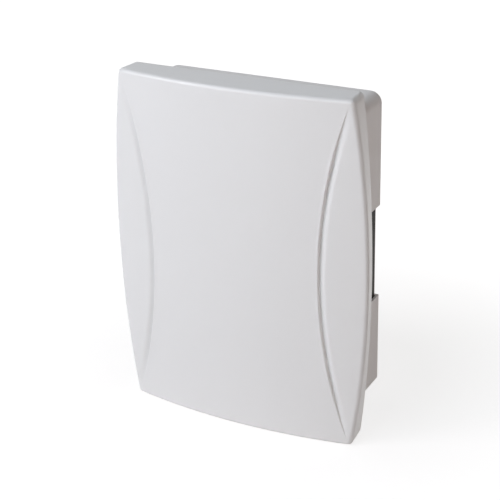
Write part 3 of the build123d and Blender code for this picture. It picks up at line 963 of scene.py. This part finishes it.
    def wall_rings(self, inner: np.ndarray) -> Iterator[np.ndarray]:
        """Rings of points down the rolled edge and the wall, round the rim and to its inside.

        Args:
            inner: Ring of points at the edge of the face.

        Yields:
            The points of each ring.
        """
        corner = self.corner_radius
        edge = self.ring(Outline(self.face_reach, 0.0, self.half_height, corner), 0.0)
        edge[:, 1] = -self.bowed(edge[:, 0])
        rim_half = self.half_height - self.rim_height_draft
        rim_level = self.total_depth - self.depth
        rim = self.ring(Outline(self.rim_reach, 0.0, rim_half, corner), rim_level)
        down = rim - edge
        down /= np.linalg.norm(down, axis=1)[:, None]
        into = inner - edge
        reach = np.linalg.norm(into, axis=1)
        below = edge + down * reach[:, None]
        weight = np.sqrt((1 - np.sum(into * down, axis=1) / reach) / 2)[:, None]
        for share in np.arange(1, self.edge_steps + 1) / self.edge_steps:
            first, middle, last = (1 - share) ** 2, 2 * weight * share * (1 - share), share**2
            yield (first * inner + middle * edge + last * below) / (first + middle + last)
        wall_end = rim + (edge - rim) * self.rim_radius / self.depth
        for share in np.arange(1, self.wall_steps + 1) / self.wall_steps:
            yield below + (wall_end - below) * share
        for angle in np.arange(1, self.rim_steps + 1) / self.rim_steps * math.pi / 2:
            inset = self.rim_radius * (1 - math.cos(angle))
            level = rim_level + self.rim_radius * (1 - math.sin(angle))
            yield self.ring(Outline(self.rim_reach, inset, rim_half - inset, corner - inset), level)
        inset = self.side_wall
        inside = Outline(self.rim_reach, inset, rim_half - inset, self.inner_corner)
        yield self.ring(inside, rim_level)

    def rib_boxes(self) -> Iterator[tuple[Point, Point]]:
        """Ribs that seat on the brim of the box.

        Yields:
            Lowest and highest corner of each rib.
        """
        inner_half = self.corner_half - self.rim_side_draft - self.side_wall
        inner_height = self.half_height - self.rim_height_draft - self.side_wall
        half, into_wall = self.rib_width / 2, self.side_wall / 2
        for share in (-self.rib_share, 0.0, self.rib_share):
            z = share * inner_height
            x = float(self.half_at(z, inner_half, self.rim_bow, inner_height))
            top = float(self.bowed(x)) - self.face_wall / 2
            for side in (-1, 1):
                near, far = sorted((side * (x - self.rib_reach), side * (x + into_wall)))
                yield (near, -top, z - half), (far, -self.seat, z + half)
            x = share * inner_half
            top = float(self.bowed(x)) - self.face_wall / 2
            for side in (-1, 1):
                ends = (inner_height - self.rib_reach, inner_height + into_wall)
                near, far = sorted(side * end for end in ends)
                yield (x - half, -top, near), (x + half, -self.seat, far)

    def build(self) -> Mesh:
        """Builds the cover as one closed mesh with its ribs.

        Returns:
            The mesh.
        """
        skin = Skin()
        inset = self.edge_radius
        corner = self.corner_radius - inset
        x, z = self.grid(Outline(self.face_reach, inset, self.half_height - inset, corner))
        face = points_of(x, -self.outer_level(x, z), z)
        numbers = skin.add(face)
        skin.fill(*numbers)
        ring = edge_of(numbers)
        for points in self.wall_rings(edge_of(face)):
            following = skin.add(points)
            skin.fill(ring, following, around=True)
            ring = following
        inset = self.side_wall + self.inner_draft
        inner_height = self.half_height - self.rim_height_draft - inset
        x, z = self.grid(Outline(self.rim_reach, inset, inner_height, self.inner_corner))
        ceiling = skin.add(points_of(x, -self.inner_level(x, z), z))
        skin.fill(ring, edge_of(ceiling), around=True)
        skin.fill(*ceiling)
        for low, high in self.rib_boxes():
            skin.box(low, high)
        return skin.mesh(self.name, self.hard_angle)


@dataclass(kw_only=True)
class ReturnSpring(Assembly):
    """A wound return spring with closed end turns, between a solenoid and its striker's collar."""

    slot: Slot = Slot.SPRING_STEEL
    joint: str
    height: float
    left: float = -0.04175
    right: float = -0.02075
    mean_radius: float = 0.0056
    wire: float = 0.0007
    turns: float = 7.0
    closed_turns: float = 0.55
    end_share: float = 0.4
    keep: float = 0.6
    steps: int = 40
    sides: int = 10
    hard_angle: float = 50.0

    def build(self) -> Mesh:
        """Builds the wire as a tube along its turns.

        Returns:
            The mesh.
        """
        share = np.linspace(0, 1, int(self.turns * self.steps) + 1)
        turn = 2 * math.pi * self.turns * share
        closed = self.closed_turns / self.turns
        run = np.clip((share - closed) / (1 - 2 * closed), 0, 1)
        rises = np.clip(share / closed, 0, 1) + np.clip((share - 1 + closed) / closed, 0, 1)
        rise = self.end_share * self.wire
        x = self.left + rise * rises + (self.right - self.left - 2 * rise) * run
        axis = points_of(x, -SOLENOID_LEVEL, self.height)
        outward = points_of(0.0, np.cos(turn), np.sin(turn))
        line = axis + self.mean_radius * outward
        ahead = np.gradient(line, axis=0)
        ahead /= np.linalg.norm(ahead, axis=1)[:, None]
        beside = np.cross(ahead, outward)
        angle = (2 * math.pi * np.arange(self.sides) / self.sides)[:, None]
        round_wire = np.cos(angle) * outward[:, None] + np.sin(angle) * beside[:, None]
        skin = Skin()
        rings = skin.add(line[:, None] + self.wire / 2 * round_wire)
        skin.fill(*rings, around=True)
        skin.faces += rings[[0, -1]].tolist()
        return skin.mesh(self.name, self.hard_angle)

    def dress(self, shop: Workshop) -> bpy.types.Object:
        """Puts the spring in the scene and gives it a mesh of its own.

        Args:
            shop: Gives it its finish.

        Returns:
            The piece.
        """
        made = super().dress(shop)
        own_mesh(made)
        return made


@dataclass(kw_only=True)
class CoilTape(Assembly):
    """Tape wound once and a little more round a winding, with the cut edge of its last turn."""

    slot: Slot = Slot.YELLOW_TAPE
    height: float
    seam: float
    seed: int
    half_length: float = 0.01656
    outer_radius: float = 0.0106
    inner_radius: float = 0.01022
    thickness: float = 0.00013
    slant: float = 0.05
    ripple: float = 0.00004
    waves: int = 7
    wave_turns: tuple[int, int] = (1, 7)
    wave_pull: Span = (-500.0, 500.0)
    bands: int = 4
    band_pull: Span = (900.0, 2400.0)
    band_share: float = 0.6
    ripple_sum: float = 9.0
    edge: float = 0.00006
    edge_start: float = 0.985
    turn_steps: int = 144
    length_steps: int = 44

    def ripples(self, angle: np.ndarray, x: np.ndarray) -> np.ndarray:
        """Soft ripples of the tape.

        Args:
            angle: Angles of the points round the winding.
            x: Their places along it.

        Returns:
            Depths from 0 to 1.
        """
        source = np.random.default_rng(self.seed)
        depth = np.zeros_like(angle)
        for _ in range(self.waves):
            waves, pull = source.integers(*self.wave_turns), source.uniform(*self.wave_pull)
            depth += np.sin(waves * angle + pull * x + source.uniform(0, 2 * math.pi))
        for _ in range(self.bands):
            pull = source.uniform(*self.band_pull)
            depth += self.band_share * np.sin(pull * x + source.uniform(0, 2 * math.pi))
        return np.clip(0.5 + depth / self.ripple_sum, 0, 1)

    def build(self) -> Mesh:
        """Builds the tape as a closed spiral sleeve.

        Returns:
            The mesh.
        """
        share = np.linspace(0, 1, self.turn_steps + 1)[:, None]
        along = np.linspace(-1, 1, self.length_steps + 1)[None, :]
        angle = self.seam + self.slant * along + 2 * math.pi * share
        x = along * self.half_length
        outer = self.outer_radius - self.thickness * share - self.ripple * self.ripples(angle, x)
        near_end = np.clip((np.abs(along) - self.edge_start) / (1 - self.edge_start), 0, 1)
        outer = outer - self.edge * near_end**2
        upright, level = np.sin(angle), np.cos(angle)
        skin = Skin()
        top, below = (
            skin.add(points_of(x, -SOLENOID_LEVEL - radius * level, self.height + radius * upright))
            for radius in (outer, self.inner_radius)
        )
        below[-1] = below[0]
        for rows in (top, below, (top[0], top[-1])):
            skin.fill(*rows)
        for column in (0, -1):
            skin.fill(top[:, column], below[:, column])
            skin.faces.append([int(row[column]) for row in (top[0], top[-1], below[0])])
        return skin.mesh(self.name)


@dataclass(kw_only=True)
class PanScrews(Assembly):
    """A set of equal slotted pan head screws, each with its slot at its own angle."""

    slot: Slot = Slot.ZINC_STEEL
    places: tuple[Span, ...]
    angles: tuple[float, ...]
    seat: float
    length: float
    radius: float
    head_radius: float
    head_height: float = 0.0018
    head_bevel: float = 0.00012
    dome_start: float = 0.45
    dome_powers: Span = (0.75, 0.9)
    dome_steps: int = 16
    slot_width: float = 0.0007
    slot_depth: float = 0.0008
    slot_overrun: float = 1.2
    pitch: float = 0.0011
    pitch_rows: int = 10
    thread_depth: float = 0.00028
    thread_flank: float = 0.3
    sunk: float = 0.0001
    point: float = 0.0016
    tip: float = 0.25
    sides: int = 28
    head_sides: int = 56
    hard_angle: float = 35.0

    def head(self) -> Mesh:
        """Builds the head with its slot, on a seat at level 0.

        Returns:
            The mesh.
        """
        turn = np.arange(1, self.dome_steps) / self.dome_steps * math.pi / 2
        wide, tall = self.dome_powers
        low = self.dome_start * self.head_height
        dome = low + (self.head_height - low) * np.sin(turn) ** tall
        heights = np.concatenate([[0.0, self.head_bevel], dome])
        rim = self.head_radius
        radii = np.concatenate([[rim - self.head_bevel, rim], rim * np.cos(turn) ** wide])
        head, knife = Skin(), Skin()
        head.turn(np.tile(radii[:, None], self.head_sides), -heights, (0.0, -self.head_height))
        half, reach = self.slot_width / 2, self.slot_overrun * rim
        floor = self.slot_depth - self.head_height
        knife.box((-reach, -2 * self.head_height, -half), (reach, floor, half))
        return cut_out(head.mesh(f"{self.name}_head"), knife.mesh(f"{self.name}_slot"))

    def shank(self) -> Mesh:
        """Builds the threaded shank below a seat at level 0.

        Returns:
            The mesh.
        """
        rows = int(self.length / self.pitch * self.pitch_rows)
        depth = np.linspace(0, self.length, rows + 1)
        left = (self.length - depth) / self.point
        taper = np.minimum(1.0, left * (1 - self.tip) + self.tip)
        turn = np.arange(self.sides) / self.sides
        phase = (depth[:, None] / self.pitch - turn) % 1.0
        crest = np.maximum(0.0, 1.0 - np.abs(phase - 0.5) / self.thread_flank)
        radii = (self.radius - self.thread_depth * (1 - crest)) * taper[:, None]
        depth[0] = -self.sunk
        shank = Skin()
        shank.turn(radii, depth, (-self.sunk, self.length))
        return shank.mesh(f"{self.name}_shank")

    def build(self) -> Mesh:
        """Builds the whole set in its places.

        Returns:
            The mesh.
        """
        work = bmesh.new()
        for mesh in (self.head(), self.shank()):
            for (x, z), angle in zip(self.places, self.angles):
                copy = mesh.copy()
                spin = Matrix.Rotation(math.radians(angle), 4, "Y")
                copy.transform(Matrix.Translation((x, -self.seat, z)) @ spin)
                work.from_mesh(copy)
                bpy.data.meshes.remove(copy)
        return settle(work, bpy.data.meshes.new(self.name), self.hard_angle)


@dataclass(kw_only=True)
class Lead(Assembly):
    """A thin insulated lead from a winding to its terminal, along its route."""

    route: tuple[Point, ...]
    diameter: float = 0.0014
    steps: int = 16
    roundness: int = 5

    def build(self) -> bpy.types.Curve:
        """Builds the lead as a round tube on one smooth line.

        Returns:
            The curve.
        """
        curve = bpy.data.curves.new(self.name, "CURVE")
        curve.dimensions = "3D"
        curve.bevel_depth = self.diameter / 2
        curve.bevel_resolution = self.roundness
        curve.use_fill_caps = True
        spline = curve.splines.new("NURBS")
        spline.points.add(len(self.route) - 1)
        for point, place in zip(spline.points, self.route):
            point.co = (*place, 1.0)
        spline.order_u = 3
        spline.use_endpoint_u = True
        spline.resolution_u = self.steps
        return curve


@dataclass(kw_only=True)
class StopPad(Assembly):
    """A felt block with soft edges and the dent that the striker has left in it."""

    name: str = "felt_stop_pad"
    node: str = "rear_stop_pad"
    slot: Slot = Slot.FELT
    low: Point = (-0.0489, -0.0236, -0.015)
    high: Point = (-0.0469, -0.0136, -0.005)
    corner: float = 0.00045
    fuzz: float = 0.00006
    dent: float = 0.00016
    dent_radius: float = 0.0026
    dent_facing: float = 0.5
    cuts: int = 36
    seed: int = 11
    hard_angle: float = 180.0

    def build(self) -> Mesh:
        """Builds the pad from a divided block.

        Returns:
            The mesh.
        """
        work = bmesh.new()
        bmesh.ops.create_cube(work, size=2.0)
        bmesh.ops.subdivide_edges(work, edges=work.edges, cuts=self.cuts, use_grid_fill=True)
        low, high = np.array(self.low), np.array(self.high)
        middle, half = (low + high) / 2, (high - low) / 2
        source = np.random.default_rng(self.seed)
        for vertex in work.verts:
            place = np.array(vertex.co) * half
            core = np.clip(place, self.corner - half, half - self.corner)
            away = place - core
            outward = away / max(float(np.linalg.norm(away)), TINY)
            place = core + outward * (self.corner - self.fuzz * source.uniform(0, 1))
            off = math.hypot(place[1], place[2]) / self.dent_radius
            if outward[0] > self.dent_facing and off < 1:
                place[0] -= self.dent * (1 - off**2) ** 2
            vertex.co = Vector(place + middle)
        return settle(work, bpy.data.meshes.new(self.name), self.hard_angle)


WINDINGS = (
    ReturnSpring(
        name="front_wound_spring", node="front_spring", joint="front_plunger_slide", height=FRONT_Z
    ),
    CoilTape(
        name="front_winding_tape", node="front_coil_tape", height=FRONT_Z, seam=0.9, seed=900
    ),
    ReturnSpring(
        name="rear_wound_spring", node="rear_spring", joint="rear_plunger_slide", height=REAR_Z
    ),
    CoilTape(name="rear_winding_tape", node="rear_coil_tape", height=REAR_Z, seam=0.4, seed=400),
)

SCREWS = (
    PanScrews(
        name="frame_screws",
        node="self_tapping_screws",
        places=(
            (-0.0235, FRONT_Z), (0.0235, FRONT_Z), (-0.0235, REAR_Z),
            (0.0235, REAR_Z), (-0.0254, BLOCK_Z), (0.0254, BLOCK_Z),
        ),
        angles=(25.0, 70.0, 118.0, 5.0, 52.0, 151.0),
        seat=0.0071,
        length=0.006,
        radius=0.00135,
        head_radius=0.0027,
    ),
    PanScrews(
        name="clamp_screws",
        node="terminal_screws",
        places=((-0.014, BLOCK_Z), (0.0, BLOCK_Z), (0.014, BLOCK_Z)),
        angles=(12.0, 100.0, 40.0),
        seat=0.0104,
        length=0.0065,
        radius=0.00145,
        head_radius=0.0028,
        pitch=0.0007,
        thread_depth=0.0002,
        point=0.0003,
        tip=0.8,
    ),
)

LEADS = (
    Lead(
        name="front_door_lead",
        node="front_lead",
        slot=Slot.LEAD_RED,
        route=(
            (0.005, -0.0186, 0.02975), (0.0053, -0.0182, 0.0365), (0.012, -0.0142, 0.041),
            (0.023, -0.0092, 0.0405), (0.0312, -0.0054, 0.0335), (0.033, -0.0034, 0.022),
            (0.033, -0.0024, 0.009), (0.0334, -0.0024, -0.004), (0.033, -0.0024, -0.017),
            (0.0312, -0.005, -0.026), (0.022, -0.0096, -0.0295), (0.014, -0.01115, -0.032),
            (0.014, -0.01115, -0.038),
        ),
    ),
    Lead(
        name="front_common_lead",
        node="front_trans_lead",
        slot=Slot.LEAD_WHITE,
        route=(
            (0.011, -0.0186, 0.0298), (0.012, -0.0178, 0.0356), (0.019, -0.0136, 0.0386),
            (0.0276, -0.008, 0.0325), (0.0298, -0.0044, 0.021), (0.03, -0.0024, 0.009),
            (0.0304, -0.0024, -0.004), (0.03, -0.0024, -0.017), (0.0286, -0.0046, -0.0242),
            (0.018, -0.009, -0.0265), (0.008, -0.0109, -0.0275), (0.0022, -0.01115, -0.0318),
            (0.0022, -0.01115, -0.038),
        ),
    ),
    Lead(
        name="rear_common_lead",
        node="rear_trans_lead",
        slot=Slot.LEAD_WHITE,
        route=(
            (-0.003, -0.0186, -0.02065), (-0.003, -0.0178, -0.0258),
            (-0.0022, -0.01115, -0.0315), (-0.0022, -0.01115, -0.038),
        ),
    ),
    Lead(
        name="rear_door_lead",
        node="rear_lead",
        slot=Slot.LEAD_RED,
        route=(
            (-0.011, -0.0186, -0.02065), (-0.0114, -0.0178, -0.0258),
            (-0.014, -0.01115, -0.0315), (-0.014, -0.01115, -0.038),
        ),
    ),
)


# Studio


def towards(azimuth: float, elevation: float) -> Vector:
    """Direction from the chime to something round it.

    Args:
        azimuth: Degrees from straight in front, towards the right.
        elevation: Degrees above the level.

    Returns:
        The direction, with a length of one.
    """
    azimuth, elevation = math.radians(azimuth), math.radians(elevation)
    level = math.cos(elevation)
    return Vector((math.sin(azimuth) * level, -math.cos(azimuth) * level, math.sin(elevation)))


@dataclass(frozen=True)
class Lamp:
    """A soft lamp that looks at the chime from an azimuth and an elevation in degrees."""

    name: str
    azimuth: float
    elevation: float
    watts: float
    size: Span
    colour: Colour = WHITE
    distance: float = 1.4
    glints: bool = True

    def light(self) -> None:
        """Hangs the lamp."""
        direction = towards(self.azimuth, self.elevation)
        data = bpy.data.lights.new(self.name, "AREA")
        data.shape = "RECTANGLE"
        data.size, data.size_y = self.size
        data.energy = self.watts
        data.color = self.colour
        lamp = placed(self.name, data)
        lamp.location = self.distance * direction
        lamp.rotation_euler = (-direction).to_track_quat("-Z", "Y").to_euler()
        lamp.visible_camera = False
        lamp.visible_glossy = self.glints


@dataclass
class Studio:
    """The pale floor, the white surroundings, the lamps and the camera."""

    azimuth: float = 28.47
    elevation: float = 24.64
    roll: float = -1.55
    lens: float = 96.35
    sensor: float = 36.0
    shift: Span = (-0.001, 0.001)
    clip_start: float = 0.01
    camera_place: Point = (0.3065, -0.5939, 0.2938)
    floor_height: float = -0.0956
    floor_half: float = 6.0
    floor_colour: Colour = (0.80, 0.77, 0.755)
    floor_roughness: float = 0.9
    floor_grain: Grain = Grain(400.0, 2.0)
    floor_grain_height: float = 0.00002
    floor_white: Span = (0.60, 0.77)
    floor_glow: float = 1.30
    shadow_reach: Span = (0.13, 0.25)
    ambient: float = 0.10
    lamps: tuple[Lamp, ...] = (
        Lamp("key_left", -45.0, 34.0, 8.1, (0.5, 0.5), (0.95, 0.94, 1.0)),
        Lamp("front_soft", -12.0, 40.0, 5.7, (0.7, 0.3), (0.80, 0.91, 1.0)),
        Lamp("front_low", -18.0, 4.0, 1.7, (0.6, 0.18), (1.0, 0.90, 0.84)),
        Lamp("right_card", 64.0, 10.0, 2.1, (0.4, 0.25), (1.0, 0.74, 0.62)),
        Lamp("back_low", 184.0, 4.0, 6.5, (0.8, 0.2), (0.98, 0.99, 1.0), glints=False),
    )

    def camera(self) -> None:
        """Stands the camera at the viewing angle."""
        azimuth, roll = math.radians(self.azimuth), math.radians(self.roll)
        right = Vector((math.cos(azimuth), math.sin(azimuth), 0.0))
        back = towards(self.azimuth, self.elevation)
        down = (-back).cross(right)
        rolled_right = math.cos(roll) * right - math.sin(roll) * down
        rolled_down = math.sin(roll) * right + math.cos(roll) * down
        axes = Matrix((rolled_right, -rolled_down, back)).transposed()
        data = bpy.data.cameras.new("camera")
        data.sensor_width = self.sensor
        data.lens = self.lens
        data.shift_x, data.shift_y = self.shift
        data.clip_start = self.clip_start
        view = placed("camera", data)
        view.matrix_world = Matrix.Translation(self.camera_place) @ axes.to_4x4()
        bpy.context.scene.camera = view

    def surroundings(self) -> None:
        """Makes the world white where it is seen, and a plain ambient light elsewhere."""
        world = bpy.data.worlds.new("white_room")
        bpy.context.scene.world = world
        nodes = NodeTree(world)
        soft, white = (
            nodes.add("Background", color=WHITE, strength=strength).outputs["Background"]
            for strength in (self.ambient, 1.0)
        )
        mix = nodes.add("MixShader", nodes.seen(), soft, white)
        nodes.add("OutputWorld", surface=mix.outputs["Shader"])

    def floor(self) -> None:
        """Lays the pale floor, which keeps the shadow of the chime and turns white further off."""
        skin = Skin()
        span = np.array([-self.floor_half, self.floor_half])
        skin.fill(*skin.add(points_of(span[None, :], span[:, None], self.floor_height)))
        floor = placed("floor", skin.mesh("floor"))
        shader = Shader("pale_floor")
        shader.put(shader.surface, base_color=self.floor_colour, roughness=self.floor_roughness)
        shader.bump((self.floor_grain, self.floor_grain_height))
        away = shader.add("VectorMath", shader.place)
        away.operation = "LENGTH"
        white = shader.ramp(away.outputs["Value"], self.shadow_reach, self.floor_white)
        share = shader.maths("MULTIPLY", shader.seen(), white)
        glow = shader.add("Emission", strength=self.floor_glow).outputs["Emission"]
        mix = shader.add("MixShader", share, shader.surface.outputs["BSDF"], glow)
        shader.put(shader.output, surface=mix.outputs["Shader"])
        floor.data.materials.append(shader.material)
        floor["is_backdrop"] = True

    def set_up(self) -> None:
        """Sets up the floor, the light and the camera."""
        bpy.context.scene.view_settings.view_transform = "Standard"
        self.surroundings()
        self.floor()
        for lamp in self.lamps:
            lamp.light()
        self.camera()


def main() -> None:
    """Dresses the chime and sets up the studio."""
    shop = Workshop()
    shop.dress_nodes()
    for part in (FrontCover(), *WINDINGS, *SCREWS, StopPad(), *LEADS):
        made = part.dress(shop)
        log.info("%s: built by %s", made.name, type(part).__name__)
    studio = Studio()
    studio.set_up()
    log.info("studio: %d lamps", len(studio.lamps))
    boxes = {"cad": WHOLE_BOX, "visual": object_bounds()}
    plain = {name: [[float(value) for value in corner] for corner in box] for name, box in boxes.items()}


if __name__ == "__main__":
    main()
